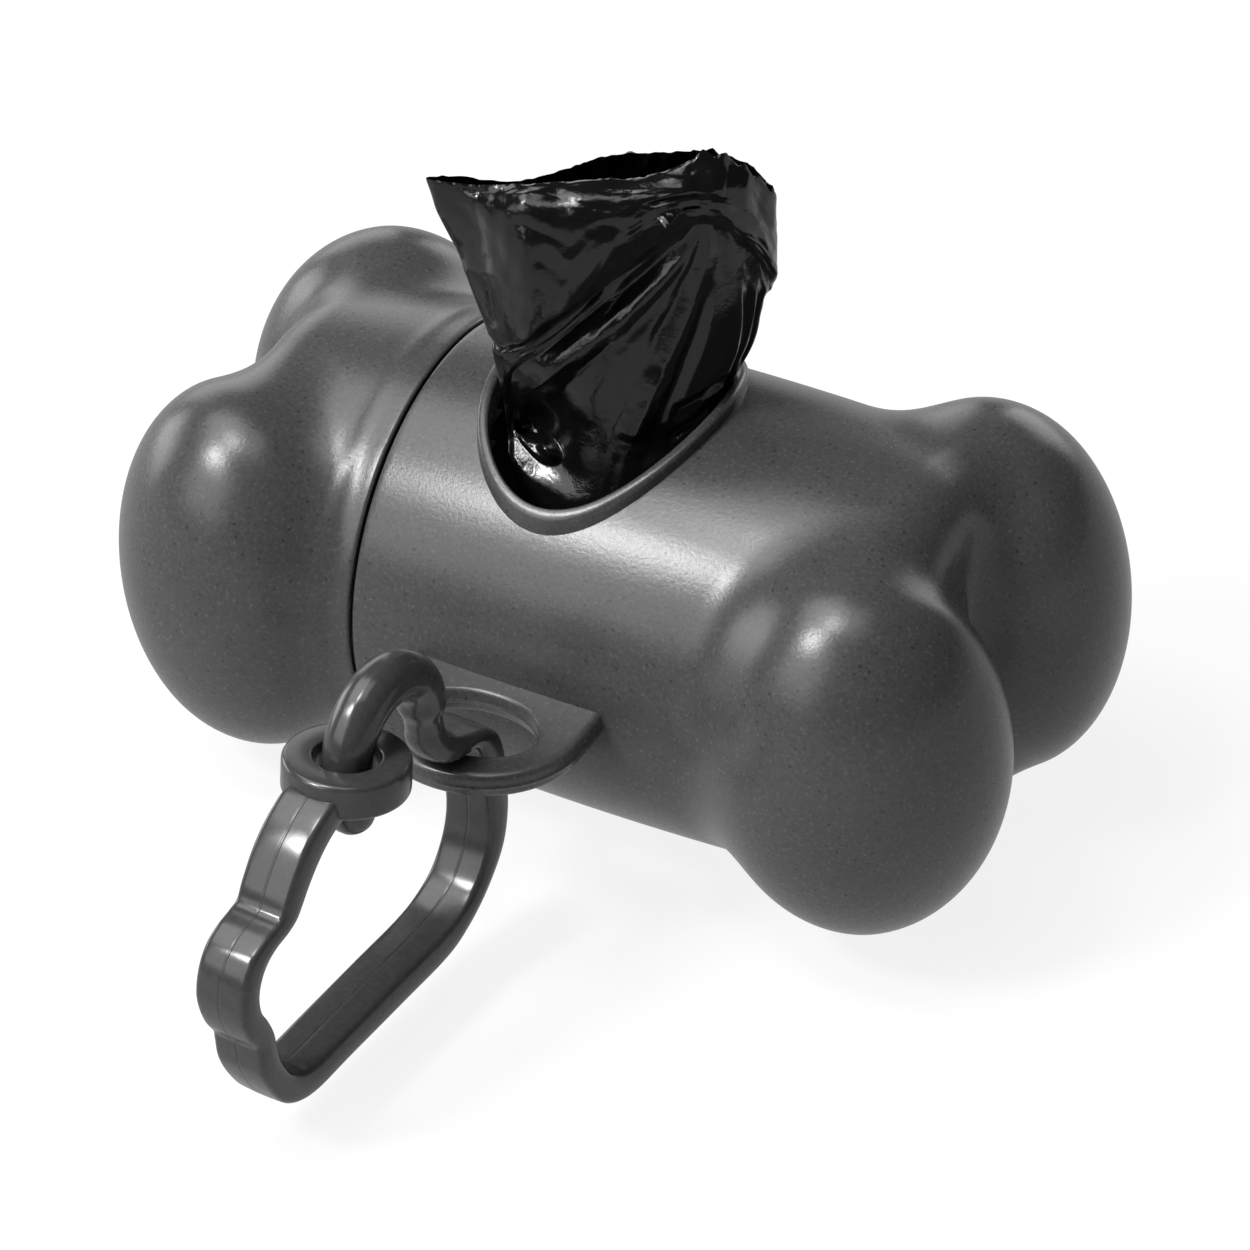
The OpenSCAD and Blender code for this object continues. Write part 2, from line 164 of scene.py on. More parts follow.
def case_rings(side, depth, outside, pitch, fan):
    """Rings of points from the seam to the end of one half: an array (rings, AROUND, 3).

    side is 1 for the body and -1 for the cap."""
    a = round_angles(AROUND)
    circle = np.stack((np.zeros(AROUND), np.cos(a), np.sin(a)), -1)
    rings = []
    end = side * LOBE["x"]
    first = SEAM_X
    if outside:
        for t in np.linspace(0, np.pi / 2, 5):                  # the rounded edge at the seam
            x = SEAM_X + side * (SEAM_GAP + SEAM_BEVEL * (1 - math.cos(t)))
            o = np.array((x, 0, 0))
            inset = SEAM_BEVEL * (1 - math.sin(t))
            rings.append(o + circle * (ray_length(o, circle, depth) - inset)[..., None])
        first = SEAM_X + side * (SEAM_GAP + SEAM_BEVEL)
    n = int(abs(end - first) / pitch)
    for i in range(1, n + 1):
        o = np.array((first + (end - first) * i / n, 0, 0))
        collar = COLLAR_HIGH * math.exp(-((o[0] - SEAM_X + COLLAR_AT) / COLLAR_WIDE) ** 2)
        collar *= side < 0 and outside
        rings.append(o + circle * (ray_length(o, circle, depth) + collar)[..., None])
    o = np.array((end, 0, 0))
    for i in range(1, fan + 1):                                 # turning from sideways to straight ahead
        lean = np.pi / 2 * (1 - i / (fan + 0.6))
        along = circle * math.sin(lean) + np.array((side * math.cos(lean), 0, 0))
        rings.append(o + along * ray_length(o, along, depth)[..., None])
    return np.array(rings)


# ---------------------------------------------------------------- mesh helpers

def make(name, verts, faces, body, material, nodes=(), slot=None):
    """A piece from points in millimetres."""
    mesh = bpy.data.meshes.new(name)
    mesh.from_pydata((np.asarray(verts, float) * MM).tolist(), [], [tuple(int(i) for i in f) for f in faces])
    mesh.validate()
    mesh.update()
    mesh.polygons.foreach_set("use_smooth", np.ones(len(mesh.polygons), bool))
    obj = bpy.data.objects.new(name, mesh)
    bpy.context.scene.collection.objects.link(obj)
    mesh.materials.append(material)
    if body:
        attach(obj, body)
    if nodes:
        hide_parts(*nodes)
    return obj


def grid_faces(rows, cols, start=0, wrap_rows=False, flip=False):
    """Four-sided faces between closed rings of cols points, from point start on."""
    faces = []
    for j in range(rows if wrap_rows else rows - 1):
        k = (j + 1) % rows
        for i in range(cols):
            m = (i + 1) % cols
            f = (start + j * cols + i, start + j * cols + m, start + k * cols + m, start + k * cols + i)
            faces.append(f[::-1] if flip else f)
    return faces


def fan_faces(first, count, tip, flip=False):
    """Triangles that close the ring of count points from first on to the point tip."""
    faces = [(first + i, first + (i + 1) % count, tip) for i in range(count)]
    return [f[::-1] for f in faces] if flip else faces


def capped_tube(rows):
    """Points and faces of a tube through the rings, closed at both ends."""
    m, n = len(rows), len(rows[0])
    verts = np.vstack((np.array(rows).reshape(-1, 3), [rows[0].mean(0), rows[-1].mean(0)]))
    faces = grid_faces(m, n, flip=True) + fan_faces(0, n, m * n)
    faces += fan_faces((m - 1) * n, n, m * n + 1, flip=True)
    return verts, faces


def smooth_line(points, per=8, closed=False):
    """Catmull-Rom through the points."""
    p = np.asarray(points, float)
    if closed:
        ext = np.vstack((p[-1], p, p[:2]))
        n = len(p)
    else:
        ext = np.vstack((2 * p[0] - p[1], p, 2 * p[-1] - p[-2]))
        n = len(p) - 1
    out = []
    for i in range(n):
        a, b, c, d = ext[i], ext[i + 1], ext[i + 2], ext[i + 3]
        for t in np.arange(per) / per:
            out.append(0.5 * ((2 * b) + (c - a) * t + (2 * a - 5 * b + 4 * c - d) * t * t
                              + (3 * b - a - 3 * c + d) * t ** 3))
    if not closed:
        out.append(p[-1])
    return np.array(out)


def revolve(name, profile, body, material, slot, centre=(0, 0), around=192):
    """Turns a closed profile of (x, radius) pairs round an axis along X."""
    p = np.asarray(profile, float)
    a = round_angles(around)
    verts = np.stack([np.stack((np.full(around, x), centre[0] + r * np.cos(a), centre[1] + r * np.sin(a)), -1)
                      for x, r in p]).reshape(-1, 3)
    return make(name, verts, grid_faces(len(p), around, wrap_rows=True), body, material, (), slot)


def rounded_profile(points, radius, steps=4):
    """Rounds the corners of a closed profile."""
    p = [np.array(q, float) for q in points]
    out = []
    for i, c in enumerate(p):
        u = p[i - 1] - c
        v = p[(i + 1) % len(p)] - c
        u /= np.linalg.norm(u)
        v /= np.linalg.norm(v)
        for k in range(steps + 1):
            t = k / steps
            out.append((1 - t) ** 2 * (c + u * radius) + 2 * t * (1 - t) * c + t * t * (c + v * radius))
    return out


# ---------------------------------------------------------------- materials

def nodes_of(name):
    mat = bpy.data.materials.new(name)
    mat.use_nodes = True
    tree = mat.node_tree
    return mat, tree, tree.nodes["Principled BSDF"]


def add(tree, kind, **values):
    """A new node, with its inputs or settings set by name."""
    node = tree.nodes.new(kind)
    for key, value in values.items():
        if key in node.inputs:
            node.inputs[key].default_value = value
        else:
            setattr(node, key, value)
    return node


def speckle_plastic(name, dark, light, rough, rough_span, grain, bump, specks=0.0):
    """Moulded plastic, mottled at two scales, with a fine grain and a few dark specks."""
    mat, tree, shader = nodes_of(name)
    links = tree.links
    coords = add(tree, "ShaderNodeTexCoord")
    broad = add(tree, "ShaderNodeTexNoise", Scale=90.0, Detail=3.0, Roughness=0.6)
    fine = add(tree, "ShaderNodeTexNoise", Scale=grain, Detail=4.0, Roughness=0.7)
    links.new(coords.outputs["Object"], broad.inputs["Vector"])
    links.new(coords.outputs["Object"], fine.inputs["Vector"])
    mix = add(tree, "ShaderNodeMath", operation="MULTIPLY_ADD")
    links.new(broad.outputs["Fac"], mix.inputs[0])
    mix.inputs[1].default_value = 0.35
    links.new(fine.outputs["Fac"], mix.inputs[2])
    ramp = add(tree, "ShaderNodeValToRGB")
    ramp.color_ramp.elements[0].position = 0.45
    ramp.color_ramp.elements[0].color = (*dark, 1)
    ramp.color_ramp.elements[1].position = 0.85
    ramp.color_ramp.elements[1].color = (*light, 1)
    links.new(mix.outputs[0], ramp.inputs["Fac"])
    links.new(ramp.outputs["Color"], shader.inputs["Base Color"])
    if specks:
        dots = add(tree, "ShaderNodeTexVoronoi", Scale=950.0)
        links.new(coords.outputs["Object"], dots.inputs["Vector"])
        shade = add(tree, "ShaderNodeMapRange")
        shade.inputs["From Min"].default_value = 0.06
        shade.inputs["From Max"].default_value = 0.2
        shade.inputs["To Min"].default_value = 1 - specks
        links.new(dots.outputs["Distance"], shade.inputs["Value"])
        dim = add(tree, "ShaderNodeVectorMath", operation="SCALE")
        links.new(ramp.outputs["Color"], dim.inputs[0])
        links.new(shade.outputs["Result"], dim.inputs["Scale"])
        links.new(dim.outputs[0], shader.inputs["Base Color"])
    span = add(tree, "ShaderNodeMapRange")
    span.inputs["To Min"].default_value = rough - rough_span
    span.inputs["To Max"].default_value = rough + rough_span
    links.new(fine.outputs["Fac"], span.inputs["Value"])
    links.new(span.outputs["Result"], shader.inputs["Roughness"])
    height = add(tree, "ShaderNodeBump", Strength=bump, Distance=0.0002)
    links.new(fine.outputs["Fac"], height.inputs["Height"])
    links.new(height.outputs["Normal"], shader.inputs["Normal"])
    shader.inputs["IOR"].default_value = 1.48
    return mat


case_mat = speckle_plastic(
    "case_plastic", (0.034, 0.034, 0.035), (0.058, 0.058, 0.059), 0.26, 0.05, 2600.0, 0.12, specks=0.5)
clip_mat = speckle_plastic(
    "clip_plastic", (0.03, 0.03, 0.031), (0.042, 0.042, 0.043), 0.2, 0.03, 1600.0, 0.03)


def film_material():
    """Thin glossy film, wrinkled at several scales."""
    mat, tree, shader = nodes_of("bag_film")
    links = tree.links
    coords = add(tree, "ShaderNodeTexCoord")
    warp = add(tree, "ShaderNodeTexNoise", Scale=160.0, Detail=2.0)
    links.new(coords.outputs["Object"], warp.inputs["Vector"])
    shift = add(tree, "ShaderNodeMixRGB", blend_type="LINEAR_LIGHT")
    shift.inputs[0].default_value = 0.0035
    links.new(coords.outputs["Object"], shift.inputs[1])
    links.new(warp.outputs["Color"], shift.inputs[2])
    crease = add(tree, "ShaderNodeTexVoronoi", feature="DISTANCE_TO_EDGE", Scale=230.0)
    links.new(shift.outputs[0], crease.inputs["Vector"])
    small = add(tree, "ShaderNodeTexNoise", Scale=900.0, Detail=5.0, Roughness=0.65)
    links.new(coords.outputs["Object"], small.inputs["Vector"])
    both = add(tree, "ShaderNodeMath", operation="MULTIPLY_ADD")
    links.new(crease.outputs["Distance"], both.inputs[0])
    both.inputs[1].default_value = 1.6
    links.new(small.outputs["Fac"], both.inputs[2])
    height = add(tree, "ShaderNodeBump", Strength=0.22, Distance=0.0003)
    links.new(both.outputs[0], height.inputs["Height"])
    links.new(height.outputs["Normal"], shader.inputs["Normal"])
    tone = add(tree, "ShaderNodeValToRGB")
    tone.color_ramp.elements[0].color = (0.0022, 0.0022, 0.0024, 1)
    tone.color_ramp.elements[1].color = (0.005, 0.005, 0.0054, 1)
    links.new(small.outputs["Fac"], tone.inputs["Fac"])
    links.new(tone.outputs["Color"], shader.inputs["Base Color"])
    shader.inputs["Roughness"].default_value = 0.11
    shader.inputs["IOR"].default_value = 1.5
    return mat


film_mat = film_material()
card_mat = speckle_plastic("card", (0.38, 0.27, 0.16), (0.52, 0.4, 0.25), 0.85, 0.05, 1400.0, 0.4)

# ---------------------------------------------------------------- case halves

def in_mouth(p, grow):
    return ((p[..., 0] - MOUTH_X) / (MOUTH_A + grow)) ** 2 + (p[..., 1] / (MOUTH_B + grow)) ** 2 < 1


def half_case(name, side, body, node):
    """One hollow half: an outer and an inner skin, joined by a flat ring at the seam."""
    outer = case_rings(side, 0.0, outside=True, pitch=0.45, fan=84)
    inner = case_rings(side, WALL, outside=False, pitch=1.1, fan=44)
    n_out, n_in = len(outer), len(inner)
    end, ahead = np.array((side * LOBE["x"], 0, 0)), np.array((side, 0, 0))
    tips = [end + ahead * ray_length(end, np.array([[side, 0, 0.0]]), depth, 1, 16)[0] for depth in (0, WALL)]
    verts = np.vstack((outer.reshape(-1, 3), tips[:1], inner.reshape(-1, 3), tips[1:]))
    tip_out = n_out * AROUND
    start = tip_out + 1
    faces = grid_faces(n_out, AROUND, flip=side < 0)
    faces += fan_faces(tip_out - AROUND, AROUND, tip_out, flip=side < 0)
    faces += grid_faces(n_in, AROUND, start, flip=side > 0)
    faces += fan_faces(start + (n_in - 1) * AROUND, AROUND, len(verts) - 1, flip=side > 0)
    faces += [(i, start + i, start + (i + 1) % AROUND, (i + 1) % AROUND)[::side] for i in range(AROUND)]
    if side > 0:
        cut = in_mouth(verts, MOUTH_CUT) & (verts[:, 2] > 0)
        faces = [f for f in faces if not all(cut[i] for i in f)]
    make(name, verts, faces, body, case_mat, (node,), "case_plastic")


half_case("body_shell_skin", 1, "case", "body_shell")
half_case("end_cap_skin", -1, "cap", "end_cap")


def neck_and_socket():
    """The body's neck, which the cap goes over, and the cap's socket, thickened within the cap's wall."""
    tip, root = SEAM_X - NECK_LEN, SEAM_X + NECK_ROOT
    revolve("neck", rounded_profile([
        (tip, NECK_R - NECK_WALL), (tip, NECK_R), (root, NECK_R), (root, NECK_R - NECK_WALL)], NECK_FILLET),
        "case", case_mat, "case_plastic")
    bore, deep, mouth = NECK_R + SOCKET_FIT, tip - SOCKET_PAST, SEAM_X - SOCKET_BACK
    revolve("cap_socket", rounded_profile([
        (deep, bore), (deep, SOCKET_R), (mouth, SOCKET_R), (mouth, bore)], SOCKET_FILLET),
        "cap", case_mat, "case_plastic")


neck_and_socket()

# ---------------------------------------------------------------- mouth rim

RIM_SECTION = [  # [distance outside the opening's edge, height over the barrel's surface]
    (1.14, -0.7), (1.11, -0.1), (1.08, 0.3), (1.05, 0.7), (1.01, 0.93), (0.94, 1.04), (0.84, 1.1),
    (0.7, 1.13), (0.5, 1.14), (0.33, 1.12), (0.19, 1.07), (0.09, 0.98), (0.03, 0.84), (0.0, 0.6),
    (0.0, 0.2), (0.0, -0.6), (0.0, -1.5), (0.1, -2.0), (0.6, -2.3),
]


def mouth_rim():
    a = round_angles(AROUND)
    rows = []
    for out, high in RIM_SECTION:
        x = MOUTH_X + (MOUTH_A + out) * np.cos(a)
        y = (MOUTH_B + out) * np.sin(a)
        z = np.sqrt(np.maximum((barrel_radius(x) + high) ** 2 - y ** 2, 0))
        rows.append(np.stack((x, y, z), -1))
    verts = np.array(rows).reshape(-1, 3)
    make("mouth_rim", verts, grid_faces(len(rows), AROUND), "case", case_mat, (), "case_plastic")


mouth_rim()

# ---------------------------------------------------------------- hanger tab

# The tab's section, in two parts that meet on its top: [distance, height over the tab's middle].
TAB_EYE_EDGE = [  # distance outwards from the eye's edge
    (-0.36, 0.0), (-0.35, 0.05), (-0.27, 0.12), (-0.24, 0.3), (-0.1, 0.85), (-0.04, 1.02), (0.06, 1.14),
    (0.2, 1.22), (0.36, 1.25), (0.75, 1.25),
]
TAB_OUTER_EDGE = [  # distance inwards from the tab's outline
    (1.6, 1.25), (0.9, 1.25), (0.66, 1.21), (0.44, 1.12), (0.26, 0.96), (0.16, 0.74), (0.1, 0.4),
    (0.06, 0.12), (-0.03, 0.05), (-0.04, 0.0),
]


def tab_outline(inset):
    """The tab's edge, drawn in by inset: a closed line, started over the barrel and run round the front."""
    half, reach = TAB_W / 2 - inset, TAB_ROUND - inset
    straight = TAB_REACH - TAB_ROUND
    foot = -TAB_ROOT - TAB_FLARE * inset
    t = np.linspace(0, np.pi, 121)
    front = np.stack((-half * np.cos(t), -straight - reach * np.sin(t)), -1)
    left = np.stack((np.full(40, -half), np.linspace(foot, -straight, 41)[:-1]), -1)
    right = np.stack((np.full(40, half), np.linspace(-straight, foot, 41)[1:]), -1)
    back = np.stack((np.linspace(half, -half, 41)[1:-1], np.full(39, foot)), -1)
    return np.vstack((left, front, right, back))


def hanger_tab():
    """The D-shaped tab with its oval eye. Each point of the eye faces one of the outline."""
    from_eye = tab_outline(0) - np.array((0, -EYE_Y))
    a = np.unwrap(np.arctan2(from_eye[:, 1] / EYE_B, from_eye[:, 0] / EYE_A))
    n = len(a)

    def eye(grow):
        return np.stack(((EYE_A + grow) * np.cos(a), -EYE_Y + (EYE_B + grow) * np.sin(a)), -1)

    upper = [(eye(d), h) for d, h in TAB_EYE_EDGE] + [(tab_outline(d), h) for d, h in TAB_OUTER_EDGE]
    section = upper + [(flat, -h) for flat, h in upper[-2:0:-1]]
    verts = np.vstack([np.column_stack((flat, np.full(n, TAB_T / 2 + h))) for flat, h in section])
    faces = grid_faces(len(section), n, wrap_rows=True)
    make("hanger_tab", verts, faces, "case", case_mat, (), "case_plastic")


hanger_tab()

# ---------------------------------------------------------------- clip

# The strap's two faces in the clip's plane, from the ring round to the neck of the hook. The points were
# set over the outline that the photograph shows.
STRAP_LINE = [  # outer face's y and z, inner face's y and z; the full width
    (-16.4, 9.8, -16.2, 6.9), (-19.5, 9.5, -18.3, 6.8), (-21.6, 8.7, -20.3, 6.0), (-23.5, 7.5, -21.9, 4.9),
    (-25.0, 6.1, -23.4, 3.5), (-26.6, 4.1, -24.6, 2.1), (-27.5, 2.75, -25.5, 1.2), (-28.6, 2.4, -26.8, 0.6),
    (-30.4, 2.0, -28.6, 0.2), (-32.2, 1.1, -30.0, -0.5), (-33.5, -0.6, -31.0, -1.7),
    (-34.2, -2.8, -31.5, -3.2), (-34.1, -4.8, -31.4, -4.9), (-33.5, -6.8, -30.7, -6.4),
    (-32.6, -8.5, -30.1, -8.1), (-32.5, -9.6, -29.9, -9.6), (-32.3, -11.9, -29.6, -11.6),
    (-31.1, -14.8, -28.7, -13.7), (-29.2, -17.4, -27.6, -15.0), (-25.8, -18.75, -25.4, -15.8),
    (-20.0, -18.65, -20.0, -15.7), (-12.0, -18.5, -12.0, -15.5), (-5.6, -18.3, -6.4, -15.4),
    (-2.1, -17.2, -3.3, -14.9), (1.1, -15.1, -0.6, -13.6), (3.9, -11.9, 1.4, -11.1), (5.1, -8.2, 2.3, -8.2),
    (5.2, -4.5, 2.25, -4.5), (5.1, -1.6, 2.1, -1.4), (4.4, 0.7, 1.7, 0.3),
]
STRAP_END = [  # the same, and the width, where the strap narrows into the round neck
    (2.9, 2.1, 0.9, 1.1, 5.3), (1.0, 2.9, -0.3, 1.15, 5.1), (-0.5, 3.5, -1.9, 1.3, 4.8),
    (-1.1, 4.1, -3.2, 2.0, 4.4), (-1.15, 4.7, -4.1, 3.2, 4.0), (-1.15, 5.1, -4.55, 4.3, 3.7),
    (-1.17, 5.5, -4.6, 5.1, 3.5), (-1.3, 5.85, -4.5, 5.75, 3.2), (-1.6, 6.05, -4.2, 6.0, 2.6),
]


def strap_section(thick, wide, rod):
    """The strap's section: [place through the thickness, place across], in millimetres.

    A rounded rectangle with crowned faces and a fine groove down the middle of each; rod 1 makes it round."""
    half_t, half_w, r = thick / 2, wide / 2, min(CORNER_R, thick / 2.4)
    flat = half_w - r
    across = np.array([-1, -0.75, -0.5, -0.25, -0.09, -0.045, 0, 0.045, 0.09, 0.25, 0.5, 0.75, 1])
    face = [(half_t + FACE_CROWN * (1 - k * k) - FACE_CROWN * (abs(k) < 0.02), k * flat) for k in across]
    corner = [(half_t - r + r * math.sin(q), flat + r * math.cos(q)) for q in np.linspace(1.3, 0.15, 5)]
    side = [(k * (half_t - r), half_w + SIDE_CROWN * (1 - k * k)) for k in (0.6, 0.2)]
    quarter = corner + side                                    # the outer face's corner and half of the side
    down = [(-t, w) for t, w in quarter[::-1]]
    pts = np.array(face + quarter + down + [(-t, w) for t, w in face[::-1]]
                   + [(t, -w) for t, w in down[::-1]] + [(t, -w) for t, w in quarter[::-1]])
    angle = np.arctan2(pts[:, 1] / half_w, pts[:, 0] / half_t)
    circle = np.column_stack((half_t * np.cos(angle), half_w * np.sin(angle)))
    return pts * (1 - rod) + circle * rod


def strap():
    rows = []
    for oy, oz, iy, iz, wide in smooth_line([(*q, STRAP_W) for q in STRAP_LINE] + STRAP_END):
        o, i = np.array((oy, oz)), np.array((iy, iz))
        mid, thick = (o + i) / 2, np.linalg.norm(o - i)
        section = strap_section(thick - FACE_CROWN, wide, np.clip((ROUND_FROM - wide) / ROUND_SPAN, 0, 1))
        at = mid + section[:, :1] * (o - i) / thick
        rows.append(in_plane(at[:, 0], at[:, 1], section[:, 1]))
    make("clip_strap", *capped_tube(rows), "clip", clip_mat, ("clip_loop",), "clip_plastic")


strap()


def ring():
    """The ring that the hook snaps through: a disc with rounded edges round a bore."""
    n = 96
    a = round_angles(n)
    profile = []
    for side, high, start, r in ((RING_R - RING_EDGE, RING_HALF_T - RING_EDGE, 0, RING_EDGE),
                                 (RING_BORE + BORE_EDGE, RING_HALF_T - BORE_EDGE, 90, BORE_EDGE),
                                 (RING_BORE + BORE_EDGE, -RING_HALF_T + BORE_EDGE, 180, BORE_EDGE),
                                 (RING_R - RING_EDGE, -RING_HALF_T + RING_EDGE, 270, RING_EDGE)):
        for k in range(6):
            q = math.radians(start + 90 * k / 5)
            profile.append((side + r * math.cos(q), high + r * math.sin(q)))
    rows = []
    ct, st = math.cos(RING_TILT), math.sin(RING_TILT)
    for r, h in profile:
        ly, lw = r * np.cos(a), r * np.sin(a)
        y = RING_MID[0] + ly * ct + h * st
        z = RING_MID[1] - ly * st + h * ct
        rows.append(in_plane(y, z, lw))
    verts = np.array(rows).reshape(-1, 3)
    faces = grid_faces(len(profile), n, wrap_rows=True)
    make("clip_ring", verts, faces, "clip", clip_mat, (), "clip_plastic")


ring()


OVER_TURN, TIP_TURN = math.radians(160), math.radians(193)      # how far round the top and the tip end
FOOT_OUT, FOOT_DEEP, FOOT_R = 0.28, 2.6, 1.72   # the foot's lowest point, from BEND, and its radius there
MOULD_LINE = 0.05                               # the depth of the fine line along both sides


def hook_stations():
    """Along the hook's middle line, in the clip's plane: [middle, direction outwards, radius]."""
    over_r = -HOOK_REACH * math.cos(OVER_TURN) / (1 - math.cos(OVER_TURN))
    over_mid = BEND + np.array((-over_r, (HOOK_REACH - over_r) * math.sin(OVER_TURN)))
    level = np.array((1.0, 0.0))
    out = []
    for k in range(6):                                         # the foot, inside the strap's end
        t = k / 5
        middle = BEND + np.array((FOOT_OUT, -FOOT_DEEP)) * (1 - t)
        out.append((middle, level, FOOT_R + (NECK_ROD - FOOT_R) * t))
    for k in range(1, 8):                                      # the neck, which thickens upwards
        t = k / 8
        middle = BEND + np.array((0, (over_mid[1] - BEND[1]) * t))
        out.append((middle, level, NECK_ROD + (HOOK_R - NECK_ROD) * (3 * t * t - 2 * t ** 3)))
    for k in range(41):                                        # over the top
        a = OVER_TURN * k / 40
        way = np.array((math.cos(a), math.sin(a)))
        out.append((over_mid + over_r * way, way, HOOK_R + HOOK_SWELL * math.sin(a) ** 2))
    for k in range(1, 15):                                     # down through the ring, about the bend
        a = OVER_TURN + (TIP_TURN - OVER_TURN) * k / 14
        way = np.array((math.cos(a), math.sin(a)))
        out.append((BEND + HOOK_REACH * way, way, HOOK_R + (TIP_R - HOOK_R) * k / 14))
    way = np.array((math.cos(TIP_TURN), math.sin(TIP_TURN)))
    ahead = np.array((-way[1], way[0]))
    for k in range(1, 9):                                      # the round tip
        q = math.radians(89 * k / 8)
        out.append((BEND + HOOK_REACH * way + ahead * TIP_R * math.sin(q), way, TIP_R * math.cos(q)))
    return out


def hook():
    """The hook as one rod."""
    a = round_angles(48)
    rows = []
    for mid, way, r in hook_stations():
        reach = r - MOULD_LINE * (np.abs(np.sin(a)) < 0.02) * (r > 1.2)
        rows.append(in_plane(mid[0] + way[0] * reach * np.cos(a), mid[1] + way[1] * reach * np.cos(a),
                             reach * np.sin(a)))
    obj = make("clip_hook_rod", *capped_tube(rows), None, clip_mat)
    start = in_plane(BEND[0], FLEX_FROM) * MM
    end = in_plane(BEND[0] - FLEX_SPAN, FLEX_FROM + FLEX_SPAN) * MM
    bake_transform(obj)
    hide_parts("clip_hook")


hook()

# ---------------------------------------------------------------- roll and core

def roll():
    """The wound strip, with layered end faces, and the card tube inside it."""
    half, depth = ROLL_LEN / 2, ROLL_R - CORE_R - 2 * LAYER_GAP
    profile = [(-half + LAYER_STEP * (k % 2), CORE_R + LAYER_GAP + depth * k / 24) for k in range(25)]
    profile += [(half - LAYER_STEP * (k % 2), ROLL_R - LAYER_GAP - depth * k / 24) for k in range(25)]
    wound = revolve("bag_roll_film", profile, "roll", film_mat, "bag_film", (0, ROLL_Z), 240)
    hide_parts("bag_roll")
    core = revolve("roll_core_tube", rounded_profile([
        (-half, CORE_R - CORE_WALL), (-half, CORE_R), (half, CORE_R), (half, CORE_R - CORE_WALL)], 0.12),
        "roll", card_mat, "card", (0, ROLL_Z), 96)
    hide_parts("roll_core")


roll()

# ---------------------------------------------------------------- the leading bag

# FRONT is the way towards the camera, laid level, and ACROSS is at right angles to it.
ACROSS, FRONT = np.array((0.8506, 0.5258, 0)), np.array((0.5258, -0.8506, 0))
MOUTH_MID = np.array((MOUTH_X, 0, 0))


def seen_at(places):
    """Points [across, towards the front, up] of places read off the photograph, to 0.1 mm."""
    right, down, front = np.moveaxis(np.array(places, float), -1, 0)
    middle = PHOTO_SIZE / 2
    ray = -BACK + RIGHT * ((right - middle) / FOCAL)[..., None] + UP * ((middle - down) / FOCAL)[..., None]
    far = (front - (EYE - MOUTH_MID) @ FRONT) / (ray @ FRONT)
    at = EYE - MOUTH_MID + ray * far[..., None]
    return np.stack((np.round(at @ ACROSS, 1), front, np.round(at[..., 2], 1)), -1)


# The film is a tube through closed rings of points. Columns 0 to 11 run across its front, 12 to 19 back
# behind it. The upper rings are places read off the photograph: [pixels from the left, pixels from the
# top, millimetres in front of the mouth's middle]. The last is guessed, and so is the whole back.
TORN_EDGE = [
    (425, 178, 0), (458, 183, 1.6), (492, 184, 2.6), (530, 183, 3.2), (566, 181, 3.4), (604, 178, 3.4),
    (640, 177, 3.2), (672, 175, 3.0), (700, 165, 2.6), (728, 163, 2.2), (756, 174, 1.4), (777, 194, 0),
    (764, 174, -2.2), (735, 157, -3.6), (700, 150, -4.2), (655, 152, -4.2), (605, 156, -3.8),
    (572, 166, -3.0), (520, 180, -2.0), (465, 175, -1.0),
]
BAND = [
    (440, 214, 0.4), (466, 212, 3.0), (497, 210, 4.6), (532, 207, 5.6), (568, 203, 6.0), (604, 199, 6.0),
    (640, 195, 5.8), (672, 191, 5.4), (700, 188, 4.8), (728, 186, 4.0), (757, 196, 2.4), (777, 222, 0),
    (768, 205, -2.4), (738, 188, -4.4), (703, 180, -5.2), (657, 180, -5.4), (607, 184, -5.0),
    (574, 192, -4.4), (522, 204, -3.2), (470, 205, -1.8),
]
FLAP = [
    (462, 266, 1.0), (483, 262, 4.4), (512, 256, 6.4), (545, 247, 7.4), (578, 236, 7.6), (610, 225, 7.4),
    (641, 214, 6.8), (672, 206, 6.2), (700, 204, 5.4), (728, 206, 4.6), (759, 222, 2.6), (777, 250, 0),
    (768, 238, -2.6), (740, 222, -4.8), (703, 215, -5.8), (657, 218, -6.0), (607, 226, -5.6),
    (574, 235, -5.0), (525, 250, -3.6), (480, 255, -2.0),
]
HEM = [
    (486, 325, 1.6), (500, 334, 5.2), (523, 322, 7.6), (551, 302, 8.4), (579, 281, 8.4), (606, 257, 8.0),
    (634, 237, 7.2), (664, 222, 6.4), (695, 214, 5.6), (727, 219, 4.6), (758, 238, 2.8), (776, 268, 0),
    (766, 262, -2.6), (738, 250, -4.6), (703, 245, -5.6), (657, 250, -5.8), (610, 260, -5.4),
    (578, 272, -4.8), (535, 290, -3.6), (500, 308, -2.0),
]
UNDER = [
    (492, 336, 1.2), (508, 349, 4.6), (530, 343, 6.6), (561, 322, 7.4), (590, 297, 7.2), (620, 269, 6.8),
    (646, 249, 6.4), (672, 234, 5.8), (699, 224, 5.2), (727, 229, 4.4), (756, 250, 2.8), (773, 282, 0),
    (763, 279, -2.6), (736, 270, -4.4), (703, 266, -5.2), (659, 270, -5.4), (615, 280, -5.0),
    (583, 292, -4.4), (545, 305, -3.2), (510, 325, -1.8),
]
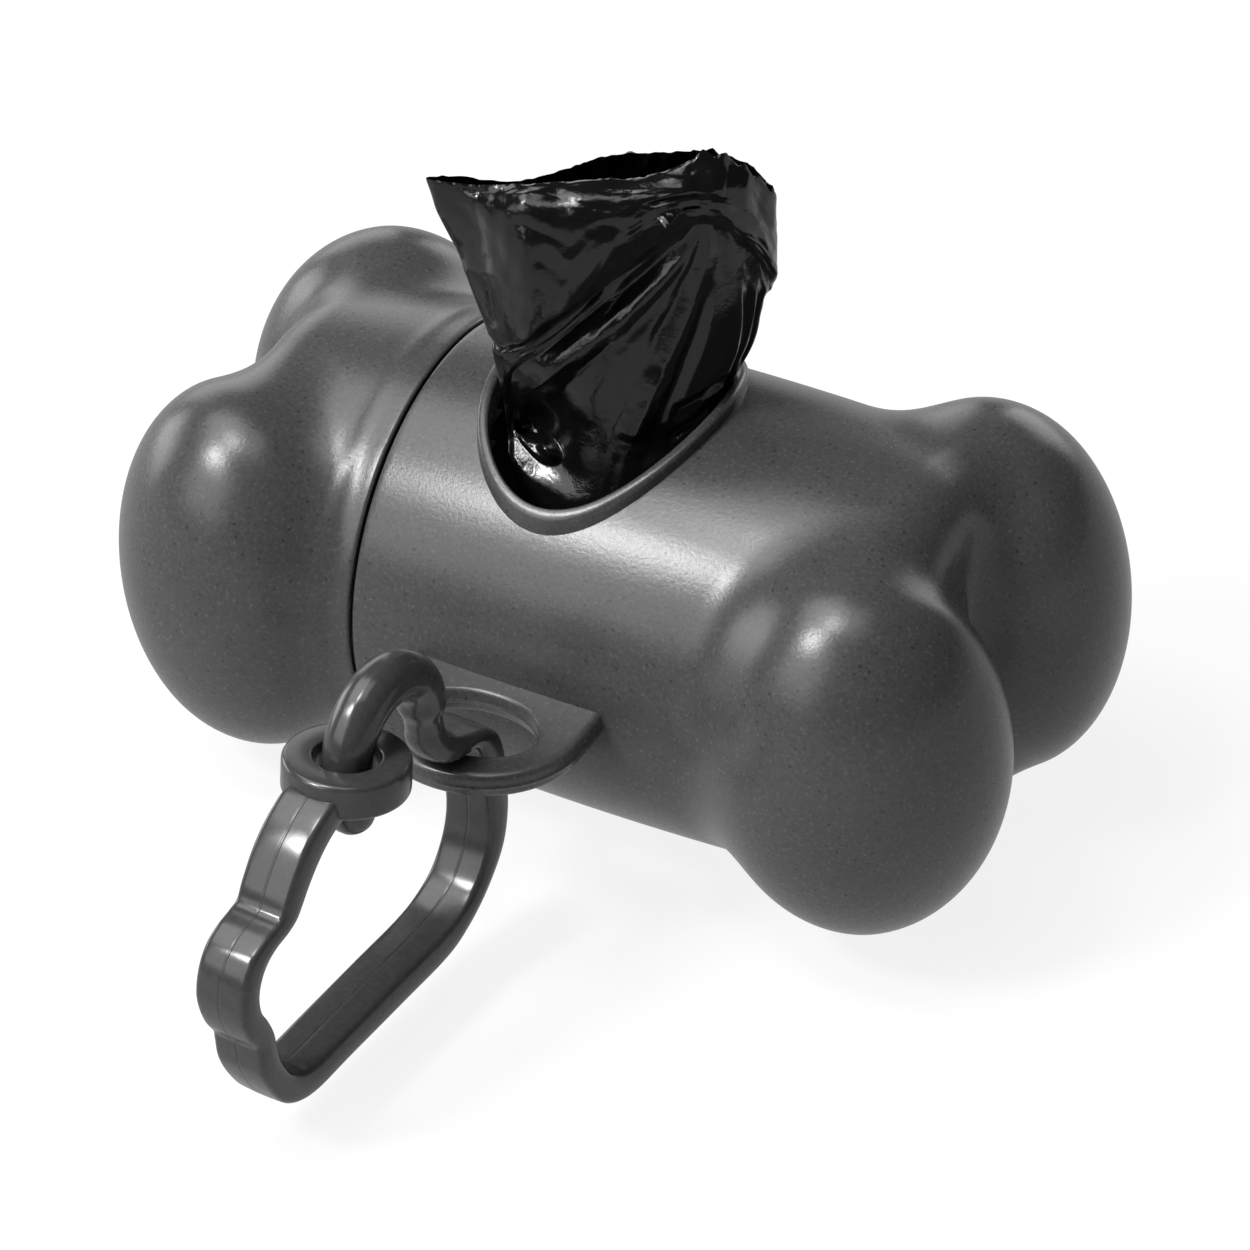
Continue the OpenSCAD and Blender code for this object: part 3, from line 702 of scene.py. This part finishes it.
TUCK = [
    (494, 337, 0.2), (514, 344, 2.2), (548, 329, 3.6), (598, 292, 4.4), (640, 264, 4.6), (668, 246, 4.8),
    (684, 238, 4.8), (694, 234, 4.8), (706, 232, 4.6), (730, 244, 4.0), (754, 270, 2.6), (768, 300, 0),
    (757, 298, -2.4), (732, 292, -4.0), (703, 288, -4.6), (661, 292, -4.8), (620, 300, -4.4),
    (588, 310, -3.8), (552, 322, -2.8), (516, 334, -1.4),
]
MIDDLE = [
    (494, 352, 1.0), (499, 360, 2.2), (511, 366, 3.4), (534, 368, 4.4), (562, 366, 5.2), (594, 362, 5.8),
    (628, 356, 6.0), (662, 350, 6.0), (696, 342, 5.6), (726, 336, 4.6), (748, 338, 2.8), (757, 342, 0),
    (746, 338, -2.4), (724, 334, -4.0), (698, 332, -4.6), (660, 336, -4.8), (624, 340, -4.4),
    (594, 346, -3.8), (560, 350, -2.8), (522, 354, -1.2),
]
UPPER_FILM = [TORN_EDGE, BAND, FLAP, HEM, UNDER, TUCK, MIDDLE]
LIFTED, LIFT = slice(6, 10), (0.1, 0.8, 0.9, 0.7)    # the torn edge stands higher here than it was read

RIM_BACK = [  # places of the same kind, for columns 14 to 17 of the ring at the mouth's rim
    (694, 350, -5.0), (660, 352, -5.2), (628, 356, -4.8), (598, 362, -4.0),
]

LOWER_FILM = [  # at the rim and below: [across, towards the front, up], in millimetres
    [
        (-9.7, 0.0, 21.4), (-9.2, 0.0, 18.9), (-8.3, 0.0, 18.9), (-6.9, 0.9, 19.0), (-5.2, 3.2, 20.4),
        (-3.0, 5.6, 20.6), (-0.4, 6.8, 20.7), (2.6, 7.0, 20.8), (5.5, 6.2, 21.0), (8.0, 4.4, 21.2),
        (10.0, 2.0, 21.4), (11.0, 0, 21.4), (10.8, -2.4, 21.1), (9.5, -4.2, 21.0),
        *seen_at(RIM_BACK), (-4.0, -2.8, 21.5), (-7.6, -0.8, 22.0),
    ],
    [
        (-9.5, 1.2, 17.9), (-9.0, 1.6, 17.6), (-8.2, 2.2, 17.4), (-6.8, 3.1, 17.3), (-5.0, 4.8, 17.3),
        (-2.8, 6.8, 17.4), (-0.2, 7.8, 17.4), (2.6, 8.0, 17.5), (5.4, 7.1, 18.0), (7.6, 5.2, 18.4),
        (9.3, 2.8, 18.8), (9.9, 0, 18.9), (9.4, -2.6, 18.2), (8.2, -4.2, 18.0), (6.4, -5.0, 18.0),
        (3.8, -5.2, 18.0), (1.2, -5.0, 18.0), (-1.4, -4.4, 18.1), (-4.2, -3.4, 18.3), (-7.4, -1.4, 18.6),
    ],
    [
        (-9.5, 2.6, 16.6), (-9.0, 3.8, 15.9), (-8.2, 4.9, 15.3), (-6.8, 6.0, 14.9), (-4.9, 7.4, 14.5),
        (-2.6, 8.5, 14.2), (0.0, 9.1, 13.9), (2.6, 9.1, 14.0), (5.2, 8.1, 14.4), (7.2, 6.4, 15.0),
        (8.6, 4.0, 15.6), (9.0, 0.5, 16.0), (8.6, -2.4, 16.2), (7.4, -4.2, 16.2), (5.6, -5.0, 16.2),
        (3.2, -5.2, 16.2), (0.8, -5.2, 16.2), (-1.8, -4.8, 16.2), (-4.6, -3.8, 16.2), (-7.6, -1.4, 16.3),
    ],
    [
        (-8.8, 3.4, 12.8), (-8.2, 5.0, 12.0), (-7.4, 6.6, 11.3), (-6.2, 8.0, 10.8), (-4.6, 9.2, 10.3),
        (-2.4, 10.0, 10.0), (0.0, 10.4, 9.9), (2.6, 10.4, 10.0), (5.0, 9.4, 10.5), (6.8, 7.8, 11.2),
        (8.0, 5.4, 12.2), (8.4, 1.4, 13.4), (8.0, -2.0, 15.2), (6.8, -4.0, 15.2), (5.0, -5.0, 15.2),
        (2.6, -5.4, 15.2), (0.2, -5.4, 15.2), (-2.4, -5.0, 15.2), (-5.0, -4.0, 15.2), (-7.6, -1.0, 15.0),
    ],
]

FOLDS = [  # from column and row, to column and row, half width, height, and how sharp if that isn't 1
    (1.6, 0.0, 0.7, 2.0, 1.1, 1.0), (0.9, 1.9, 0.6, 2.9, 0.6, 0.4), (3.0, 0.3, 2.2, 2.6, 0.9, -0.5),
    (2.4, 1.3, 3.9, 2.3, 0.8, 0.35, 1.3), (3.4, 0.5, 5.2, 1.6, 0.9, 0.3, 1.2),
    (2.6, 2.1, 3.6, 2.8, 0.5, 0.3), (5.0, 0.4, 7.4, 0.9, 0.6, 0.35), (6.2, 1.7, 8.1, 1.3, 0.5, 0.6),
    (7.6, 0.2, 8.4, 1.6, 0.6, 0.5), (9.2, 0.0, 8.9, 1.8, 0.6, 0.5), (10.3, 0.1, 10.1, 1.8, 0.5, 0.35),
    (4.6, 1.8, 6.0, 2.7, 0.6, 0.35), (3.2, 5.0, 1.2, 6.3, 0.7, 0.9), (8.0, 4.7, 3.7, 5.45, 0.55, 1.2),
    (3.7, 5.45, 0.9, 6.8, 0.6, 1.2), (7.4, 5.1, 4.2, 5.9, 0.5, -0.8), (4.2, 5.9, 1.6, 7.1, 0.5, -0.8),
    (7.0, 5.3, 5.4, 5.8, 0.5, 0.7), (5.4, 5.8, 3.8, 6.6, 0.7, 0.7), (7.6, 5.2, 6.6, 5.9, 0.35, 0.6),
    (8.2, 5.1, 7.1, 6.2, 0.5, -1.0), (7.1, 6.2, 6.6, 7.0, 0.6, -1.3), (6.6, 7.0, 5.8, 8.8, 0.6, -0.5),
    (8.2, 5.5, 7.5, 6.8, 0.4, 0.7), (9.9, 5.4, 10.1, 7.0, 0.35, 0.8), (10.6, 5.0, 10.5, 6.6, 0.3, 0.6),
    (11.2, 4.6, 11.1, 7.2, 0.4, 0.7), (7.8, 6.8, 9.9, 6.7, 0.3, 1.2), (7.8, 7.15, 9.5, 7.1, 0.3, 1.2),
    (6.2, 7.4, 5.4, 9.2, 0.3, 0.25), (13.0, 1.0, 13.2, 8.0, 0.9, 0.9), (15.2, 0.6, 15.0, 8.0, 0.9, 0.8),
    (17.2, 1.0, 17.0, 8.0, 0.9, 0.8), (19.0, 1.5, 19.2, 7.0, 0.6, 0.4), (14.7, 0.0, 14.9, 0.6, 0.14, 0.5),
    (15.1, 0.0, 15.2, 0.5, 0.12, 0.6), (15.5, 0.0, 15.3, 0.5, 0.14, -0.5), (16.0, 0.0, 16.1, 0.7, 0.2, 0.5),
    (13.4, 0.0, 13.7, 0.8, 0.2, 0.6),
]

FACETS = [  # from column and row, to column and row, half width, the lamp whose light it throws at the camera
    (1.6, 7.4, 3.1, 7.85, 1.0, (-38.5, 51)), (6.9, 2.5, 7.8, 2.35, 0.25, (-38.5, 51)),
]

COLUMNS = len(TORN_EDGE)
ROW_LENGTH = 2.0                                # a row is about as long as this many columns
SMOOTH_FROM = 6.7                               # the row from which the film lies smooth over the roll
FACET_SHIFT = 2.0                               # the most that a flat place is moved
CALM = 0.85                                     # the share of the small creases that is missing there
CREASE, WRINKLE = 0.1, 0.022                    # the heights of long creases and of fine wrinkles
CURL, CURL_DEEP, CURL_STEP = 0.22, 0.06, 0.12   # the torn edge's curl: height, rows down, columns apart
SHOULDER, SHOULDER_HALF, SHOULDER_STEP = 11, 3.2, 0.22  # the ragged right shoulder, in columns
SHOULDER_TORN = 0.4                             # about how far it is torn up or down
SHOULDER_FADE = np.array((1, 0.7, 0.4, 0.15))   # over the first rings of the mesh


def zigzag(t):
    return 2 * np.abs(t - np.floor(t + 0.5))


def film_net():
    """The film's smooth form: points in the frame, and their places in control rows and columns."""
    upper = seen_at(UPPER_FILM)
    upper[0, LIFTED, 2] = np.round(upper[0, LIFTED, 2] + LIFT, 1)
    net = np.concatenate((upper, np.array(LOWER_FILM, float)))
    rows = len(net)
    down = np.array([smooth_line(net[:, i], 22) for i in range(COLUMNS)]).transpose(1, 0, 2)
    net = np.array([smooth_line(row, 18, closed=True) for row in down])
    p = MOUTH_MID + net[..., :1] * ACROSS + net[..., 1:2] * FRONT + net[..., 2:] * Z_AXIS
    v = np.linspace(0, rows - 1, p.shape[0])[:, None]
    s = np.arange(p.shape[1])[None] / p.shape[1] * COLUMNS
    return p, s, v


def from_line(s, v, place):
    """A line between two places on the film, and each point's offset from its start, in columns."""
    s0, v0, s1, v1 = place
    line = np.array((s1 - s0, (v1 - v0) * ROW_LENGTH))
    return line, (s - s0 + COLUMNS / 2) % COLUMNS - COLUMNS / 2, (v - v0) * ROW_LENGTH


def fold(s, v, place, wide, high, sharp=1.0):
    """A crease from one place to another; it fades at both ends."""
    along, du, dw = from_line(s, v, place)
    reach = np.linalg.norm(along)
    along = along / reach
    t = (du * along[0] + dw * along[1]) / reach
    off = np.abs(du * along[1] - dw * along[0]) / wide
    ends = np.clip(t / 0.18 + 0.35, 0, 1) * np.clip((1 - t) / 0.18 + 0.35, 0, 1)
    return high * np.clip(1 - off, 0, 1) ** sharp * ends


def creases(s, v, room, rng):
    """How far each point stands out: the folds, long shallow creases and fine wrinkles."""
    out = np.zeros(room.shape)
    for s0, v0, s1, v1, *rest in FOLDS:
        out = out + fold(s, v, (s0, v0, s1, v1), *rest) * room
    calm = 1 - CALM * np.clip(v - SMOOTH_FROM, 0, 1)
    for _ in range(9):                                         # long shallow creases
        a, b, c = rng.normal(0, 0.35), rng.normal(0, 0.3), rng.uniform(0, 1)
        wave = zigzag(a * s + b * v + c + 0.1 * np.sin(0.9 * s + 2 * c)) - 0.5
        out = out + CREASE * room * calm * wave
    for _ in range(10):                                        # fine wrinkles
        a, b, c = rng.normal(0, 1.1), rng.normal(0, 1.0), rng.uniform(0, 1)
        wave = zigzag(a * s + b * v + c + 0.25 * np.sin(1.1 * s + 3 * v)) - 0.5
        out = out + WRINKLE * room * calm * wave
    return out


def flattened(p, s, v, normal):
    """The film with the flat places that throw a lamp's light at the camera."""
    for s0, v0, s1, v1, wide, lamp_at in FACETS:
        line, du, dw = from_line(s, v, (s0, v0, s1, v1))
        t = np.clip((du * line[0] + dw * line[1]) / (line @ line), 0, 1)
        off = np.hypot(du - t * line[0], dw - t * line[1])
        share = np.clip((1 - off / wide) / 0.25, 0, 1)
        aim = BACK + toward(*lamp_at)
        aim /= np.linalg.norm(aim)
        middle = (p * share[..., None]).sum((0, 1)) / share.sum()
        lean = np.clip((normal * aim).sum(-1), 0.4, 1)
        shift = np.clip(((middle - p) @ aim) / lean, -FACET_SHIFT, FACET_SHIFT)
        p = p + normal * (share * shift)[..., None]
    return p


def lead_bag():
    """The first bag of the strip: a tube of film, gathered in the mouth and folded over above it."""
    rng = np.random.default_rng(11)
    p, s, v = film_net()
    round_it = np.roll(p, -1, 1) - np.roll(p, 1, 1)
    normal = np.cross(round_it, np.gradient(p, axis=0))
    normal /= np.linalg.norm(normal, axis=-1, keepdims=True) + 1e-9
    room = np.clip(np.linalg.norm(round_it, axis=-1) / 0.5, 0.15, 1)    # smaller folds where points crowd
    relief = creases(s, v, room, rng)
    knots = np.arange(0, COLUMNS, CURL_STEP)
    curl = CURL * np.exp(-(v / CURL_DEEP) ** 2) * np.interp(s, knots, rng.uniform(0, 1, len(knots)))
    p = flattened(p + normal * (relief + curl)[..., None], s, v, normal)
    off = np.maximum(1, (ROLL_R + 0.3) / np.hypot(p[..., 1], p[..., 2] - ROLL_Z))   # it rests on the roll
    p[..., 1] *= off
    p[..., 2] = ROLL_Z + (p[..., 2] - ROLL_Z) * off
    knots = np.arange(0, COLUMNS, SHOULDER_STEP)
    torn = np.interp(s[0], knots, rng.normal(0, SHOULDER_TORN, len(knots)))
    torn = torn * (np.abs(s[0] - SHOULDER) < SHOULDER_HALF)
    p[:len(SHOULDER_FADE), :, 2] += torn * SHOULDER_FADE[:, None]
    obj = make("lead_bag_film", p.reshape(-1, 3), grid_faces(*p.shape[:2]), None, film_mat)
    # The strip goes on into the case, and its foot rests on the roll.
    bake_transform(obj)
    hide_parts("lead_bag")


lead_bag()

# ---------------------------------------------------------------- stage and light

FLOOR_Z, FLOOR_HALF, LAMP_AWAY = -0.0212, 4.0, 0.9      # in metres
FLOOR_WHITE = 0.86                              # the share of plain white in the floor that the camera sees
GLOSS_DIM = 0.4                                 # how much dimmer that white is in reflections


def floor():
    """A pale floor. The camera sees it almost white, and reflections see it dimmer."""
    mesh = bpy.data.meshes.new("floor")
    z, w = FLOOR_Z, FLOOR_HALF
    mesh.from_pydata([(-w, -w, z), (w, -w, z), (w, w, z), (-w, w, z)], [], [(0, 1, 2, 3)])
    obj = bpy.data.objects.new("floor", mesh)
    bpy.context.scene.collection.objects.link(obj)
    mat, tree, shader = nodes_of("floor")
    links = tree.links
    shader.inputs["Base Color"].default_value = (0.9, 0.9, 0.9, 1)
    shader.inputs["Roughness"].default_value = 0.9
    shader.inputs["Specular IOR Level"].default_value = 0.1
    white = add(tree, "ShaderNodeEmission", Color=(1, 1, 1, 1))
    path = add(tree, "ShaderNodeLightPath")
    share = add(tree, "ShaderNodeMath", operation="MULTIPLY_ADD")
    links.new(path.outputs["Is Camera Ray"], share.inputs[0])
    share.inputs[1].default_value = FLOOR_WHITE
    links.new(path.outputs["Is Glossy Ray"], share.inputs[2])
    glow = add(tree, "ShaderNodeMath", operation="MULTIPLY_ADD")
    links.new(path.outputs["Is Glossy Ray"], glow.inputs[0])
    glow.inputs[1].default_value = -GLOSS_DIM
    glow.inputs[2].default_value = 1.0
    links.new(glow.outputs[0], white.inputs["Strength"])
    mix = add(tree, "ShaderNodeMixShader")
    links.new(share.outputs[0], mix.inputs["Fac"])
    links.new(shader.outputs["BSDF"], mix.inputs[1])
    links.new(white.outputs["Emission"], mix.inputs[2])
    links.new(mix.outputs["Shader"], tree.nodes["Material Output"].inputs["Surface"])
    mesh.materials.append(mat)


floor()


def soft_world(strength):
    world = bpy.data.worlds.new("world")
    bpy.context.scene.world = world
    world.use_nodes = True
    background = world.node_tree.nodes["Background"]
    background.inputs["Color"].default_value = (1, 1, 1, 1)
    background.inputs["Strength"].default_value = strength


soft_world(0.06)


def lamp(name, turn, height, size, power):
    """A square lamp that faces the object, turn degrees round from the front and height degrees up."""
    at = Vector(toward(turn, height))
    data = bpy.data.lights.new(name, "AREA")
    data.shape = "SQUARE"
    data.size = size
    data.energy = power
    obj = bpy.data.objects.new(name, data)
    bpy.context.scene.collection.objects.link(obj)
    obj.location = at * LAMP_AWAY
    obj.rotation_mode = "QUATERNION"
    obj.rotation_quaternion = (-at).to_track_quat("-Z", "Y")


lamp("key", -38.5, 51, 0.17, 5.2)
lamp("key_high", -40.5, 71, 0.16, 2.2)
lamp("top_left", -86, 63, 0.5, 3.1)
lamp("left_soft", -28, 32, 0.6, 3.0)
lamp("left_low", -94, 4, 0.5, 3.0)
lamp("overhead", 10, 84, 0.45, 1.6)
lamp("back_right", 225, 12, 0.5, 1.3)
lamp("behind", 180, 12, 0.5, 1.8)

bpy.context.scene.view_settings.view_transform = "Standard"
